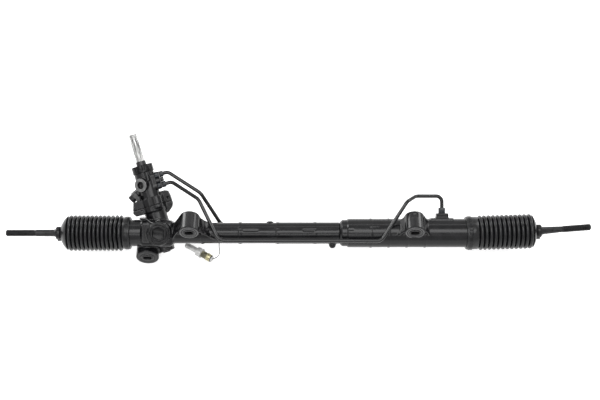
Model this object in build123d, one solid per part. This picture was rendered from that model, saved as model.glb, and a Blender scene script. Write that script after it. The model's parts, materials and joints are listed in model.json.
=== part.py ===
from build123d import *
import math
import os

# Hydraulic power steering rack, lying with its mount bolts along Y.
# Millimetres. X runs along the rack, the steering input leaves up and back.
# Everything is laid out from the rack axis, then moved so that the origin is
# midway between the two slotted mount bushes, on their front faces.

# Mount bosses
mount_spacing = 467.0
mount_middle_x = 4.15
boss_height = 36.0            # bolt axis above the rack axis
boss_radius = 21.0
boss_front_y = -23.5
boss_back_y = 17.5
sleeve_proud = 1.0
bush_radius = 14.5
slot_length = 18.5
slot_width = 12.5
sleeve_wall = 2.5
web_lip = 3.5
web_hollow = 15.0
lower_boss_x = -321.0
lower_boss_z = -34.0
lower_boss_radius = 24.0
lower_boss_front_y = -40.0
lower_boss_back_y = -6.0
nut_relief_radius = 13.5
nut_relief_depth = 36.0
mount_origin = (mount_middle_x, boss_front_y - sleeve_proud, boss_height)

# Rack and its travel
rack_radius = 12.5
rack_left_x = -438.0
rack_right_x = 423.0
rack_bore = 16.0
stud_radius = 8.0
stud_length = 22.0

# Pinion mesh: a spur pinion on an axis that leans in two directions
lean = 35.0                   # yoke axis, from vertical towards -Y
shaft_angle = 16.42           # pinion axis, from square across the rack
crossing_x = -293.0
pinion_offset = 17.0          # rack axis to pinion axis
gear_module = 2.0
gear_teeth = 8
pressure_angle = 25.0
pinion_addendum = 1.6
rack_addendum = 1.4
backlash = 0.3
pinion_pitch_radius = gear_module * gear_teeth / 2
toothed_half_length = 80.0

# Castings
tube_radius = 22.0
step_radius = 22.7            # the tube's right half stands this little prouder
mould_ribs = (-204.0, -125.5, -47.0, 31.5)
mould_rib_radius = 23.4
mould_rib_width = 4.0
parting_low = 7.1             # across the tube, the shallow line the mould left
parting_high = 9.5
parting_depth = 0.6
slot_mark_depth = 2.0
tube_right_x = 83.0
neck_radius = 28.0
neck_left_x = -369.0
neck_recess_radius = 17.5     # takes the lock washer at full travel
neck_recess_depth = 3.0
box_left_x = -335.0
box_right_x = -264.0
barrel_radius = 23.0
yoke_barrel_radius = 25.0
yoke_barrel_top = 34.0
cylinder_radius = 30.2
cylinder_ribs = (148.0, 185.5, 223.5, 261.5)
cylinder_rib_width = 3.0
recess_depth = 1.6            # on top of the right boss
cylinder_bore = 19.5
end_bore = 24.5               # wider end, for the rack bushing and its nut
bushing_left_x = 325.0
bushing_right_x = 341.0
end_nut_right_x = 352.0
piston_x = 215.0
piston_groove_radius = 16.0
cylinder_right_x = 362.0

# Valve, measured up the pinion axis
flange_low = 47.0
flange_split = 60.0
flange_high = 77.0
flange_disc_radius = 25.0
front_lobe_radius = 12.8
back_lobe_radius = 12.0
ear_hole_radius = 2.6
flange_bolt_radius = 3.3
flange_bolt_flats = 10.0
valve_radius = 21.0
valve_bore = 17.0
port_boss_radius = 14.5
port_mouth = 26.5             # from the valve axis
port_thread_radius = 7.5
port_thread_depth = 8.2
port_passage_radius = 4.0
valve_top = 132.5
cap_top = 147.8
shaft_tip = 216.0
shaft_radius = 8.75

# Ball joints and tie rods
left_ball_x = -459.0
right_ball_x = 444.0
ball_radius = 14.0
seat_radius = 16.0
ball_housing_radius = 19.5
rod_neck_radius = 6.0
rod_radius = 9.0
thread_radius = 7.0
small_neck_radius = 12.5
rib_depth = 4.5
left_tip_x = -617.0
right_tip_x = 613.0
right_rod_swing = 5.1         # how far the right tie rod rests off the rack axis
right_boot_tilt = 2.1         # the right boot bends this much to follow it
right_boot_pivot_x = 360.0

# Pipes
pipe_radius = 4.0
pipe_fit = 0.02
port_seat_height = 41.6       # from the rack axis to the seats of the cylinder's pipe nuts
large_nut_flats = 13.0
small_nut_flats = 11.0
union_screw_radius = 3.0

across_tube = (0.0, math.cos(math.radians(lean)), math.sin(math.radians(lean)))
yoke_dir = (0.0, -math.sin(math.radians(lean)), math.cos(math.radians(lean)))
cos_a = math.cos(math.radians(shaft_angle))
sin_a = math.sin(math.radians(shaft_angle))
pinion_dir = (-sin_a, cos_a * across_tube[1], cos_a * across_tube[2])
pinion_side = (cos_a, sin_a * across_tube[1], sin_a * across_tube[2])
pinion_centre = (crossing_x, -pinion_offset * yoke_dir[1], -pinion_offset * yoke_dir[2])

# Local frames: the leaned casting (x along the rack, y across, z out through the yoke)
# and the pinion (z up the input shaft, y away from the yoke)
leaned = Plane((0, 0, 0), x_dir=(1, 0, 0), z_dir=yoke_dir).location
on_pinion = Plane(pinion_centre, x_dir=pinion_side, z_dir=pinion_dir).location


def save(shape, node):
    """Move a finished piece to the mount origin and write it."""
    moved = Pos(*[-value for value in mount_origin]) * shape
    export_step(moved, "parts/" + node + ".step")


def rod_x(radius, start, end):
    """Round bar along the rack axis."""
    return Pos((start + end) / 2, 0, 0) * Rot(0, 90, 0) * Cylinder(radius, end - start)


def ring_x(outer, inner, start, end):
    return rod_x(outer, start, end) - rod_x(inner, start - 1, end + 1)


def rod_z(radius, low, high):
    """Round bar along the local z axis."""
    return Pos(0, 0, (low + high) / 2) * Cylinder(radius, high - low)


def ring_z(outer, inner, low, high):
    return rod_z(outer, low, high) - rod_z(inner, low - 1, high + 1)


def rod_y(radius, start, end):
    """Round bar along the mount bolts."""
    return Pos(0, (start + end) / 2, 0) * Rot(90, 0, 0) * Cylinder(radius, end - start)


def hex_z(across_flats, low, high):
    outline = RegularPolygon(across_flats / 2, 6, major_radius=False)
    return Pos(0, 0, low) * extrude(outline, high - low)


def block(x0, x1, y0, y1, z0, z1):
    size = (x1 - x0, y1 - y0, z1 - z0)
    return Pos((x0 + x1) / 2, (y0 + y1) / 2, (z0 + z1) / 2) * Box(*size)


def plate_y(outline, back_y, thickness):
    """Plate with an (x, z) outline, reaching from back_y towards -Y."""
    face = make_face(Plane.XZ * Polyline(outline, close=True))
    return Pos(0, back_y, 0) * extrude(face, thickness, dir=(0, -1, 0))


def turned_x(profile):
    """Turn a profile of (x, radius) points about the rack axis."""
    face = make_face(Polyline([(x, radius) for x, radius in profile], close=True))
    return revolve(face, Axis.X)


def mount_places():
    half = mount_spacing / 2
    return {"left": mount_middle_x - half, "right": mount_middle_x + half}


# ---- Cast housings -------------------------------------------------------

def mount_boss(centre_x, inward):
    """Bush barrel on a web that is hollow in front, with a short foot outboard and a long foot inboard."""
    short_foot = centre_x - inward * 44
    long_foot = centre_x + inward * 60
    top = boss_height + boss_radius
    outline = [
        (short_foot, 0),
        (centre_x - inward * 22, boss_height + 6),
        (centre_x - inward * 8, top - 3),
        (centre_x + inward * 8, top - 3),
        (centre_x + inward * 18, boss_height + 8),
        (centre_x + inward * 30, boss_height - 8),
        (centre_x + inward * 44, boss_height - 20),
        (long_foot, boss_height - 30),
        (long_foot, 0),
    ]
    web = plate_y(outline, boss_back_y - 3, boss_back_y - boss_front_y - 5)
    hollow = offset(make_face(Plane.XZ * Polyline(outline, close=True)), amount=-web_lip)
    web -= Pos(0, boss_front_y + 2 + web_hollow, 0) * extrude(hollow, web_hollow + 1, dir=(0, -1, 0))
    barrel = Pos(centre_x, 0, boss_height) * rod_y(boss_radius, boss_front_y, boss_back_y)
    return web + barrel


def bush_bore(x, z, front_y, back_y):
    return Pos(x, 0, z) * rod_y(bush_radius, front_y - 1, back_y + 1)


def lower_boss():
    barrel = Pos(lower_boss_x, 0, lower_boss_z) * rod_y(
        lower_boss_radius, lower_boss_front_y, lower_boss_back_y)
    web = block(lower_boss_x - 14, lower_boss_x + 28, -24, lower_boss_back_y, lower_boss_z - 10, 0)
    return barrel + web


def valve_flange(low, high):
    """Slice of the flange under the valve: left block, right ear and front lobe."""
    left_block = plate_y([(0, 47), (-39, 47), (-44, 55), (-37, 77), (0, 77)], 16, 34)
    right_ear = plate_y(
        [(0, 38), (26, 38), (37, 47), (40.5, 54), (40, 72), (38, 82), (31, 85), (18, 85), (0, 77)], 18, 14)
    ear_hole = Pos(34, 0, 68) * rod_y(ear_hole_radius, 0, 11)
    front_lobe = Pos(10, -14, 0) * rod_z(front_lobe_radius, 52, 77)
    back_lobe = Pos(12, 21, 0) * rod_z(back_lobe_radius, flange_low, flange_high)
    disc = rod_z(flange_disc_radius, flange_low, flange_high)
    whole = left_block + right_ear - ear_hole + front_lobe + back_lobe + disc
    return whole & block(-60, 60, -60, 60, low, high)


def lower_nut_relief():
    """Round pocket behind the lower boss, so that a bolt and its nut can reach the back of the bush."""
    return Pos(lower_boss_x, 0, lower_boss_z) * rod_y(
        nut_relief_radius, lower_boss_back_y, lower_boss_back_y + nut_relief_depth)


def gusset_lip():
    """Wavy raised edge along the top of the pinion box, from the neck to the pinion barrel."""
    top = [(-334, 32.9), (-320.7, 32.9), (-307.2, 22.4), (-292.6, 29.7)]
    under = [(-292.6, 25.2), (-307, 18.0), (-321.6, 28.6), (-334, 28.6)]
    return leaned * Pos(0, 0, 6) * extrude(make_face(Polyline(top + under, close=True)), 18.5)


def parting_groove(start, end, radius):
    """Shallow line where the two halves of the mould met."""
    middle = (parting_low + parting_high) / 2
    floor = math.sqrt(radius ** 2 - middle ** 2) - parting_depth
    return leaned * block(start, end, parting_low, parting_high, floor, radius + 2)


def flange_bolt_places():
    return [(-24, -14), (14, 24)]


def pinion_housing():
    tube = rod_x(tube_radius, box_right_x - 20, tube_right_x)
    tube += rod_x(step_radius, -49, tube_right_x)
    for x in mould_ribs:
        tube += rod_x(mould_rib_radius, x - mould_rib_width / 2, x + mould_rib_width / 2)
    neck = rod_x(neck_radius, neck_left_x, box_left_x + 4)
    box = leaned * fillet(block(box_left_x, box_right_x, -28, 27, -27, 22).edges(), 9)
    yoke_barrel = leaned * Pos(crossing_x, 0, 0) * rod_z(yoke_barrel_radius, 0, yoke_barrel_top)
    barrel = on_pinion * (rod_z(barrel_radius, -14, flange_low + 3) + rod_z(18, -40, -10))
    shoulder = on_pinion * block(-18, 16, -14, 12, -38, -10)
    shape = tube + neck + box + yoke_barrel + barrel + shoulder + lower_boss()
    shape += on_pinion * valve_flange(38, flange_split)
    shape += mount_boss(mount_places()["left"], 1)
    shape += leaned * Pos(-63, 19, 0) * Rot(90, 0, 0) * Cylinder(6, 12)
    shape += leaned * Pos(68, -19, 0) * Rot(90, 0, 0) * Cylinder(7.5, 12)
    shape += leaned * Pos(68, -25, 0) * Sphere(7.5)
    shape += gusset_lip()

    shape -= parting_groove(-196, -49, tube_radius) + parting_groove(-49, 80, step_radius)
    for start, end in ((-119, -87), (6, 31)):
        shape -= leaned * block(start, end, 3.4, 7.2, tube_radius - slot_mark_depth, tube_radius + 2)
    shape -= rod_x(rack_bore, neck_left_x - 1, tube_right_x + 1)
    shape -= rod_x(neck_recess_radius, neck_left_x - 1, neck_left_x + neck_recess_depth)
    shape -= leaned * Pos(crossing_x, 0, 0) * rod_z(rack_bore + 0.03, 0, yoke_barrel_top + 1)
    shape -= leaned * Pos(crossing_x, 0, 0) * rod_z(17.5, 25, yoke_barrel_top + 1)
    shape -= on_pinion * rod_z(11, -36, 40)
    shape -= on_pinion * rod_z(14, -46, -36)
    shape -= on_pinion * rod_z(17.5, 26, 50)
    shape -= on_pinion * rod_z(valve_bore, 49, flange_split + 1)
    for x, y in flange_bolt_places():
        shape -= on_pinion * Pos(x, y, 0) * rod_z(flange_bolt_radius, flange_low + 2, flange_split + 1)
    shape -= bush_bore(mount_places()["left"], boss_height, boss_front_y, boss_back_y)
    shape -= bush_bore(lower_boss_x, lower_boss_z, lower_boss_front_y, lower_boss_back_y)
    shape -= lower_nut_relief()
    return shape


def cylinder_port_place(side):
    """Local frame of a cylinder port: z points out of the port."""
    if side == "right":
        return leaned * Pos(297.8, 0, 0) * Rot(-90, 0, 0)
    return leaned * Pos(105, 0, 0) * Rot(180, 0, 0)


def cylinder_housing():
    shape = turned_x([
        (tube_right_x, rack_bore), (tube_right_x, step_radius), (88, 28), (99, 28),
        (100.5, cylinder_radius), (cylinder_right_x, cylinder_radius), (cylinder_right_x, end_bore),
        (bushing_left_x, end_bore), (bushing_left_x, cylinder_bore), (88, cylinder_bore), (88, rack_bore)])
    for x in cylinder_ribs:
        half = cylinder_rib_width / 2
        shape += ring_x(cylinder_radius + 1, cylinder_bore + 2, x - half, x + half)
    shape += mount_boss(mount_places()["right"], -1) - rod_x(cylinder_bore + 2, 150, 300)
    for side in ("left", "right"):
        shape += cylinder_port_place(side) * block(-13, 13, -11, 11, 27, port_seat_height)
        shape -= cylinder_port_place(side) * rod_z(pipe_radius + pipe_fit, cylinder_bore - 4, 45)
    pad = leaned * block(273, 321, 15, 31.5, -16, 16)
    shape += pad - rod_x(cylinder_bore + 2, 270, 330)
    shape -= cylinder_port_place("right") * rod_z(pipe_radius + pipe_fit, cylinder_bore - 4, 45)
    shape -= bush_bore(mount_places()["right"], boss_height, boss_front_y, boss_back_y)
    boss_top = boss_height + boss_radius
    for start, end, up in ((144, 167, 12.6), (98, 112, 7.5)):
        depth = math.sqrt(cylinder_radius ** 2 - up ** 2) - 1.2
        shape -= leaned * block(start, end, up - 1.4, up + 1.4, depth, cylinder_radius + 2)
    shape -= block(226, 243, 5, 11, boss_top - recess_depth, boss_top + 1)
    return shape


def pressure_port_place():
    """Front pressure port: z points out of the port mouth."""
    return Rot(0, 0, -25) * Pos(0, 0, 107.3) * Rot(90, 0, 0)


def pipe_union_place(height):
    """Pipe union on the right of the valve: z points out along the union."""
    return Pos(0, -8, height) * Rot(0, 90, 0)


def return_union_place():
    return Pos(-24, 3, 93.8) * Rot(0, -117.6, 0)


union_heights = (119.3, 97.0)
union_face = 21.5             # from the valve axis to the first union nuts
plate_face = 29.5
plate_back = 32.5


def valve_housing():
    shape = rod_z(valve_radius, flange_split, valve_top)
    shape += valve_flange(flange_split, 90)
    shape += pressure_port_place() * rod_z(port_boss_radius, 5, port_mouth)
    shape += return_union_place() * rod_z(10, -12, 3)
    shape += plate_y([(-14, 74), (-37, 74), (-37, 76), (-30.3, 78.2), (-22, 82.4), (-14, 86)], 10, 14)
    shape += Pos(7, -19, 0) * rod_z(4, 112, valve_top - 1)
    for height in union_heights:
        shape += pipe_union_place(height) * rod_z(8.5, 2, union_face)
    shape += block(4, union_face, -16, 0, 97, 119.3)
    shape -= rod_z(valve_bore, flange_split - 1, valve_top + 1)
    thread_floor = port_mouth - port_thread_depth
    shape -= pressure_port_place() * rod_z(port_thread_radius, thread_floor, port_mouth + 1)
    shape -= pressure_port_place() * rod_z(port_passage_radius, 10, port_mouth)
    shape -= return_union_place() * rod_z(5, -20, 4)
    for height in union_heights:
        shape -= pipe_union_place(height) * rod_z(pipe_radius + pipe_fit, 0, union_face + 1)
    shape -= Pos(0, -8, 108.2) * Rot(0, 90, 0) * rod_z(union_screw_radius, 12, union_face + 1)
    for x, y in flange_bolt_places():
        shape -= Pos(x, y, 0) * rod_z(flange_bolt_radius, flange_split - 1, flange_high + 1)
    return on_pinion * shape


def valve_cap():
    shape = rod_z(22.5, valve_top, cap_top)
    for step in range(8):
        shape -= Rot(0, 0, 45 * step + 10) * Pos(27, 0, 0) * rod_z(6, valve_top + 3, cap_top + 1)
    shape -= rod_z(14, valve_top - 1, valve_top + 7)
    shape -= rod_z(9.8, valve_top - 1, cap_top + 1)
    return on_pinion * shape


def flange_bolts():
    bolts = []
    for x, y in flange_bolt_places():
        bolt = hex_z(flange_bolt_flats, flange_high, flange_high + 9)
        bolt += rod_z(flange_bolt_radius, flange_low + 2, flange_high)
        bolts.append(on_pinion * Pos(x, y, 0) * bolt)
    return Compound(bolts)


def return_union():
    shape = hex_z(18, 3, 12) + rod_z(8.5, 12, 21) + rod_z(5, -3, 3)
    shape -= rod_z(3.6, -4, 22)
    return on_pinion * return_union_place() * shape


def bottom_cap():
    return on_pinion * (rod_z(14, -40.5, -36) + rod_z(8, -42.5, -40))


# ---- Bushes --------------------------------------------------------------

def bush(x, z, front_y, back_y):
    """Slotted metal sleeve bonded in a rubber ring."""
    slot = SlotOverall(slot_length, slot_width)
    sleeve_outline = SlotOverall(slot_length + 2 * sleeve_wall, slot_width + 2 * sleeve_wall)
    length = back_y - front_y
    sleeve = extrude(Plane.XZ * (sleeve_outline - slot), length + 2 * sleeve_proud)
    rubber = extrude(Plane.XZ * (Circle(bush_radius) - sleeve_outline), length)
    return (
        Pos(x, back_y + sleeve_proud, z) * sleeve,
        Pos(x, back_y, z) * rubber,
    )


# ---- Rack, pinion and valve ----------------------------------------------

def rack_bar():
    """Round bar with inclined teeth cut across a flat, and threaded ends."""
    pitch = math.pi * gear_module
    slope = math.tan(math.radians(pressure_angle))
    tip = pinion_pitch_radius - rack_addendum
    root = pinion_pitch_radius + pinion_addendum + 0.4
    gap = pitch / 2 + backlash / 2
    count = int(toothed_half_length * cos_a / pitch)
    side = (count + 0.5) * pitch
    outline = [(-side, 0), (-side, tip)]
    for tooth in range(-count, count + 1):
        middle = tooth * pitch
        wide = gap / 2 + rack_addendum * slope
        narrow = gap / 2 - (root - pinion_pitch_radius) * slope
        outline += [(middle - wide, tip), (middle - narrow, root),
                    (middle + narrow, root), (middle + wide, tip)]
    outline += [(side, tip), (side, 0)]
    cutter = extrude(make_face(Polyline(outline, close=True)), 45, both=True)
    facing_rack = Plane(pinion_centre, x_dir=pinion_side, z_dir=[-value for value in pinion_dir]).location
    shape = rod_x(rack_radius, rack_left_x, rack_right_x) - facing_rack * cutter
    shape -= rod_x(stud_radius, rack_left_x - 1, rack_left_x + stud_length)
    shape -= rod_x(stud_radius, rack_right_x - stud_length, rack_right_x + 1)
    return shape


def involute_point(base, radius, half_angle):
    """Point on an involute flank; half_angle is the tooth's half angle at its base."""
    tilt = math.acos(base / radius)
    angle = half_angle - (math.tan(tilt) - tilt)
    return (radius * math.cos(angle), radius * math.sin(angle))


def pinion_gear():
    """Spur gear with involute flanks, centred on the rack's pitch line."""
    pitch_radius = pinion_pitch_radius
    alpha = math.radians(pressure_angle)
    base = pitch_radius * math.cos(alpha)
    tip = pitch_radius + pinion_addendum
    root = pitch_radius - rack_addendum - 0.35
    half_thick = (math.pi * gear_module / 2 - backlash / 2) / (2 * pitch_radius)
    half_base = half_thick + math.tan(alpha) - alpha
    outline = []
    for tooth in range(gear_teeth):
        turn = 2 * math.pi * tooth / gear_teeth
        flank = [(root * math.cos(half_base), root * math.sin(half_base))]
        for step in range(5):
            radius = base + (tip - base) * step / 4
            flank.append(involute_point(base, radius, half_base))
        mirrored = [(x, -y) for x, y in flank]
        for x, y in mirrored + flank[::-1]:
            outline.append((x * math.cos(turn) - y * math.sin(turn),
                            x * math.sin(turn) + y * math.cos(turn)))
    gear = extrude(make_face(Polyline(outline, close=True)), 20, both=True)
    return Rot(0, 0, -90) * gear


def pinion():
    shape = pinion_gear() + rod_z(6, -35, -19) + rod_z(8.5, 19, 44)
    shape += rod_z(9, 44, 52) + rod_z(13, 52, 66)
    shape -= rod_z(9.05, 57, 67)
    shape -= rod_z(3.6, 29, 58)
    return on_pinion * shape


def pin_bore():
    return Pos(0, 0, 139) * Rot(0, 90, 0) * Cylinder(1.5, 20)


def torsion_bar():
    shape = rod_z(3.55, 30, 44) + rod_z(2.9, 43, 132) + rod_z(3.55, 131, 146)
    return on_pinion * (shape - pin_bore())


def input_pin():
    return on_pinion * Pos(0, 0, 139) * Rot(0, 90, 0) * Cylinder(1.5, 17)


def input_shaft():
    """Splined steering input with a clamp-bolt groove, hollow for the torsion bar."""
    shape = rod_z(9, 57.3, 130) + rod_z(shaft_radius, 130, 158)
    spline = []
    for tooth in range(30):
        for offset, radius in ((-0.3, 8.1), (-0.12, shaft_radius), (0.12, shaft_radius), (0.3, 8.1)):
            angle = 2 * math.pi * (tooth + offset) / 30
            spline.append((radius * math.cos(angle), radius * math.sin(angle)))
    teeth = extrude(make_face(Polyline(spline, close=True)), shaft_tip - 158)
    tip_ring = rod_z(8.8, 200, 205) - rod_z(7.6, 199, 206)
    shape += Pos(0, 0, 158) * teeth - tip_ring
    shape &= Pos(0, 0, 136) * chamfer(Cylinder(10, 160).edges().group_by(Axis.Z)[-1], 2.2)
    shape -= rod_z(3.6, 57, 147)
    return on_pinion * (shape - pin_bore())


def valve_sleeve():
    shape = ring_z(16.6, 9.05, 66, 118)
    for groove in (70, 84, 98, 112):
        shape -= ring_z(18, 15.5, groove - 1.5, groove + 1.5)
    for height in (77, 91, 105):
        for turn in range(4):
            shape -= Pos(0, 0, height) * Rot(0, 0, 90 * turn + 45) * Rot(0, 90, 0) * rod_z(2, 8, 20)
    return on_pinion * shape


def valve_rings():
    rings = [ring_z(valve_bore - 0.05, 15.5, height - 1.5, height + 1.5) for height in (70, 84, 98, 112)]
    return Compound([on_pinion * ring for ring in rings])


def bearing_balls():
    balls = [Rot(0, 0, 40 * step) * Pos(13, 0, 34) * Sphere(2.4) for step in range(9)]
    return Compound([on_pinion * ball for ball in balls])


def bearing_race(outer, inner):
    groove = Pos(0, 0, 34) * Torus(13, 2.5)
    return on_pinion * (ring_z(outer, inner, 28, 40) - groove)


# ---- Yoke ----------------------------------------------------------------

def at_yoke(shape):
    return leaned * Pos(crossing_x, 0, 0) * shape


def rack_yoke():
    shape = rod_z(16, 4, 24.5) - rod_z(8, 17.5, 25) - Rot(0, 90, 0) * Cylinder(14.02, 40)
    return at_yoke(shape)


def yoke_liner():
    shell = Rot(0, 90, 0) * (Cylinder(14, 24) - Cylinder(rack_radius + 0.03, 25))
    return at_yoke(shell & block(-13, 13, -13, 13, 5, 16))


def yoke_spring():
    coil = Helix(pitch=3.1, height=9.3, radius=6.2)
    section = Plane(coil @ 0, z_dir=coil % 0) * Circle(1.0)
    return at_yoke(Pos(0, 0, 18.6) * sweep(section, path=coil, is_frenet=True))


def yoke_plug():
    shape = rod_z(17.5, 25, yoke_barrel_top + 6) - rod_z(8, 24, 29)
    shape -= Rot(0, 0, 30) * hex_z(24, 33, yoke_barrel_top + 7)
    rim = shape.edges().filter_by(GeomType.CIRCLE).group_by(Axis.Z)[-1]
    return at_yoke(chamfer(rim, 1.1))


def yoke_lock_ring():
    ring = rod_z(23, yoke_barrel_top, yoke_barrel_top + 4.5)
    shape = chamfer(ring.edges().group_by(Axis.Z)[-1], 1.2) - rod_z(17.5, 30, 45)
    for step in range(6):
        shape -= Rot(0, 0, 60 * step) * Pos(24, 0, yoke_barrel_top + 3) * Cylinder(2.5, 6)
    return at_yoke(shape)


# ---- Tie rods, ball joints and boots ---------------------------------------

def mirrored_x(shape, side):
    return shape if side > 0 else mirror(shape, Plane.YZ)


def ball_housing():
    """Right-hand ball housing about its own ball centre, stud to the rack at -x."""
    body = turned_x([(-19, 0), (-19, 17), (-17, ball_housing_radius), (12, ball_housing_radius),
                     (15, 17), (15, 0)])
    stud = rod_x(stud_radius, -19 - 2 - stud_length, -18)
    mouth = turned_x([(0, 0), (0, 13.2), (9, 13.2), (16, 15.4), (16, 0)])
    flats = block(-17, -9, -30, 30, 17, 30) + block(-17, -9, -30, 30, -30, -17)
    return body + stud - Sphere(seat_radius + 0.03) - mouth - flats


def ball_seat():
    shell = Sphere(seat_radius) - Sphere(ball_radius + 0.02)
    mouth = turned_x([(0, 0), (0, 6.2), (30, 31), (30, 0)])
    return shell - mouth - rod_x(4, -20, 0)


def tie_rod(shank_end, thread_start, tip, shank_radii):
    """Right-hand tie rod about its own ball centre."""
    shank = turned_x([
        (8, 0), (8, rod_neck_radius), (22, rod_neck_radius), (28, rod_radius), (shank_end - 2, rod_radius),
        (shank_end + 3, shank_radii[0]), (thread_start - 3, shank_radii[1]), (thread_start, thread_radius),
        (tip - 1.5, thread_radius), (tip, thread_radius - 1.5), (tip, 0)])
    return Sphere(ball_radius) + shank


def lock_washer():
    shape = ring_x(16.5, stud_radius, -21, -19)
    return shape - block(-22, -18, 13, 20, -5, 5)


def boot(cuff, ribs, rib_count, housing_end, bore, small_end, radius):
    """Bellows turned about the rack axis, open only at its two necks once those are bored."""
    cuff_start, cuff_radius = cuff
    ribs_start, ribs_end = ribs
    pitch = (ribs_end - ribs_start) / rib_count
    valley = radius - rib_depth
    outline = [(cuff_start, 0), (cuff_start, cuff_radius), (ribs_start - 1, cuff_radius)]
    for rib in range(rib_count):
        middle = ribs_start + (rib + 0.5) * pitch
        outline += [(middle - pitch / 2, valley), (middle - 1.2, radius), (middle + 1.2, radius)]
    outline += [(ribs_end, valley), (small_end - 9, 27), (small_end - 2, 20),
                (small_end, small_neck_radius), (small_end + 10, small_neck_radius), (small_end + 10, 0)]
    wall = 2.5
    cavity = [(housing_end - 2, 0), (housing_end - 2, bore),
              (ribs_start + 4, valley - wall), (ribs_end - 3, valley - wall),
              (small_end - 12, 27 - wall), (small_end - 5, 17), (small_end - 3, 0)]
    return turned_x(outline) - turned_x(cavity)


def left_boot():
    shape = boot((355, 33.5), (371, 484), 13, -neck_left_x, neck_radius, 501.5, 37.6)
    shape -= rod_x(neck_radius + 0.02, 350, -neck_left_x) + rod_x(rod_radius + 0.05, 490, 520)
    return mirrored_x(shape, -1)


def right_boot():
    shape = bend_right(boot((347, 34.5), (373, 486), 12, cylinder_right_x, end_bore, 497, 36.6))
    shape -= rod_x(cylinder_radius + 0.02, 340, cylinder_right_x)
    return shape - right_swing(rod_x(rod_radius + 0.05, 46, 80))


def bend_right(shape):
    """Tilt the right boot and its clamps about the end of the cylinder."""
    turned = Rot(0, 0, right_boot_tilt) * Pos(-right_boot_pivot_x, 0, 0) * shape
    return Pos(right_boot_pivot_x, 0, 0) * turned


def band_clamp(radius, inner, start, end, ear_height, ear_turn):
    band = ring_x(radius, inner, start, end)
    ear = block(start, end, -2.5, 2.5, inner + 0.5, radius + ear_height)
    return band + Rot(ear_turn, 0, 0) * ear


def right_swing(shape):
    """Turn a piece on the right tie rod to where the rod rests."""
    return Pos(right_ball_x, 0, 0) * Rot(0, 0, right_rod_swing) * shape


# ---- Pipes -----------------------------------------------------------------

def union_nut(place, low, high, across_flats):
    return place * (hex_z(across_flats, low, high) - rod_z(pipe_radius + pipe_fit, low - 1, high + 1))


def route_tube(points, radii, radius):
    path = FilletPolyline(*points, radius=radii)
    section = Plane(path @ 0, z_dir=path % 0) * Circle(radius)
    return sweep(section, path=path)


def across(x, up, out):
    """World point from a place along the rack, across the tube and out towards the yoke side."""
    return (leaned * Pos(x, up, out)).position


def valve_side_start(height, reach):
    return (on_pinion * pipe_union_place(height) * Pos(0, 0, reach)).position


def lower_pipe():
    points = [
        valve_side_start(union_heights[1], 18),
        valve_side_start(union_heights[1], 52),
        across(-212, 71, 14),
        across(-168, -15.5, 31),
        across(-120, -15, 29),
        across(168, -15.5, 37),
        across(222, 66, 34),
        across(243, 77.5, 6),
        across(297.8, 77.5, 0),
        across(297.8, 30, 0),
    ]
    return route_tube(points, [14, 24, 22, 60, 18, 14, 13, 12], pipe_radius)


def upper_pipe():
    points = [
        valve_side_start(union_heights[0], 18),
        valve_side_start(union_heights[0], 50),
        across(-209, 84, -4),
        across(-165, 14, -28),
        across(52, 10, -30),
        across(82, 2, -62),
        across(105, 0, -66),
        across(105, 0, -30),
    ]
    return route_tube(points, [14, 24, 24, 24, 12, 10], pipe_radius)


def union_plate():
    shape = block(plate_face, plate_back, -15, -1, 91, 125.5)
    for height in union_heights:
        shape -= pipe_union_place(height) * rod_z(pipe_radius + 0.3, 20, 40)
    shape -= Pos(0, -8, 108.2) * Rot(0, 90, 0) * rod_z(union_screw_radius, 20, 40)
    return on_pinion * shape


def union_bolt():
    place = on_pinion * Pos(0, -8, 108.2) * Rot(0, 90, 0)
    return place * (rod_z(union_screw_radius, 16, plate_back) + hex_z(8, plate_back, plate_back + 5))


def valve_union_nuts():
    nuts = []
    for height in union_heights:
        place = on_pinion * pipe_union_place(height)
        nuts.append(union_nut(place, union_face, plate_face - 0.5, large_nut_flats))
        nuts.append(union_nut(place, plate_back, plate_back + 7, small_nut_flats))
    return Compound(nuts)


def cylinder_union_nuts():
    nuts = []
    for side in ("left", "right"):
        nuts.append(union_nut(cylinder_port_place(side), port_seat_height, 53, large_nut_flats))
    return Compound(nuts)


# ---- Loose hose union and its tie wire -------------------------------------

union_tail = (-243.1, 0.7, -46.0)
union_nose = (-185.6, -36.3, -46.0)
union_tube_radius = 6.2
union_bead_radius = 7.2
union_hex_flats = 19.0
union_hex_low = 30.0
union_hex_high = 39.0
union_flange_radius = 10.6
union_barrel_start = 42.0
union_barrel_radius = 7.6
union_nose_radius = 6.5
union_hole_radius = 3.0
ring_groove_radius = 5.6
ring_width = 2.2
wire_radius = 0.8
wire_route = [
    (-167.15, -29.57, 13.99),
    (-168.9, -33.0, 1.0),
    (-168.0, -34.4, -14.0),
    (-169.3, -36.1, -27.0),
    (-175.9, -37.0, -38.0),
    (-184.94, -36.35, -45.45),
]


def union_location():
    reach = [b - a for a, b in zip(union_tail, union_nose)]
    return Plane(union_tail, x_dir=(0, 0, 1), z_dir=reach).location


def union_length():
    return math.dist(union_tail, union_nose)


def hose_union():
    end = union_length()
    shape = rod_z(union_tube_radius, 0, union_hex_low) + rod_z(union_bead_radius, 3, 6)
    shape += hex_z(union_hex_flats, union_hex_low, union_hex_high)
    shape += rod_z(union_flange_radius, union_hex_high, union_barrel_start)
    shape += rod_z(union_barrel_radius, union_barrel_start, end - 6)
    shape += rod_z(union_nose_radius, end - 6, end)
    shape -= rod_z(union_hole_radius, -1, end - 6)
    shape -= ring_z(8, ring_groove_radius, end - 4, end - 4 + ring_width)
    return union_location() * shape


def union_ring():
    end = union_length()
    return union_location() * ring_z(7.1, ring_groove_radius, end - 4, end - 4 + ring_width)


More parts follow.
